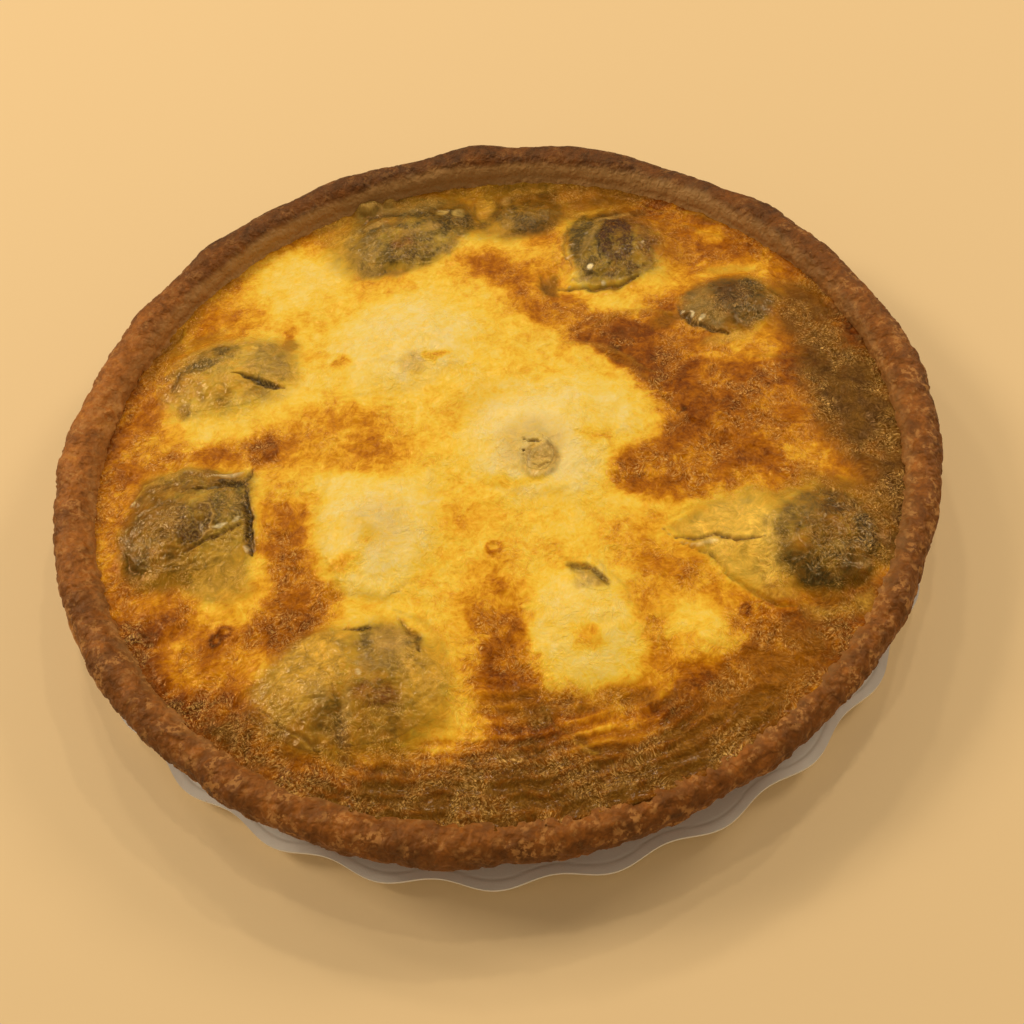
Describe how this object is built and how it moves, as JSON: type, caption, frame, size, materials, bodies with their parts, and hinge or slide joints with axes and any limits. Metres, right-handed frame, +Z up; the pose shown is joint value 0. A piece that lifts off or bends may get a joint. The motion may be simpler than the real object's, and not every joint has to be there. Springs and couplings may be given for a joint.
{
  "type": "custard tart",
  "caption": "Round baked custard tart with soft oysters set in its browned top, in a thick-rimmed pastry case on a white scalloped card tray.",
  "frame": {"origin": "centre of the tray's underside, on the surface that it stands on", "axes": "+Z up, -Y towards the front of the tart, +X to its right seen from the front"},
  "size_m": [0.2125, 0.212, 0.0254],
  "materials": {
    "pastry": "baked shortcrust pastry, mottled golden brown, satin",
    "custard": "moist baked egg custard with a thin browned skin, glossy in fine wrinkles",
    "oyster": "soft grey-green oyster flesh, moist",
    "white_card": "smooth coated white card with an embossed edge"
  },
  "bodies": {
    "root": {"pastry_case": "pastry", "custard": "custard", "oyster_back": "oyster", "oyster_back_small": "oyster", "oyster_back_right": "oyster", "oyster_right": "oyster", "oyster_left_back": "oyster", "oyster_left": "oyster", "oyster_front_left": "oyster", "oyster_front_right": "oyster", "oyster_tip_centre": "oyster", "oyster_tip_front": "oyster", "card_tray": "white_card"}
  },
  "joints": []
}
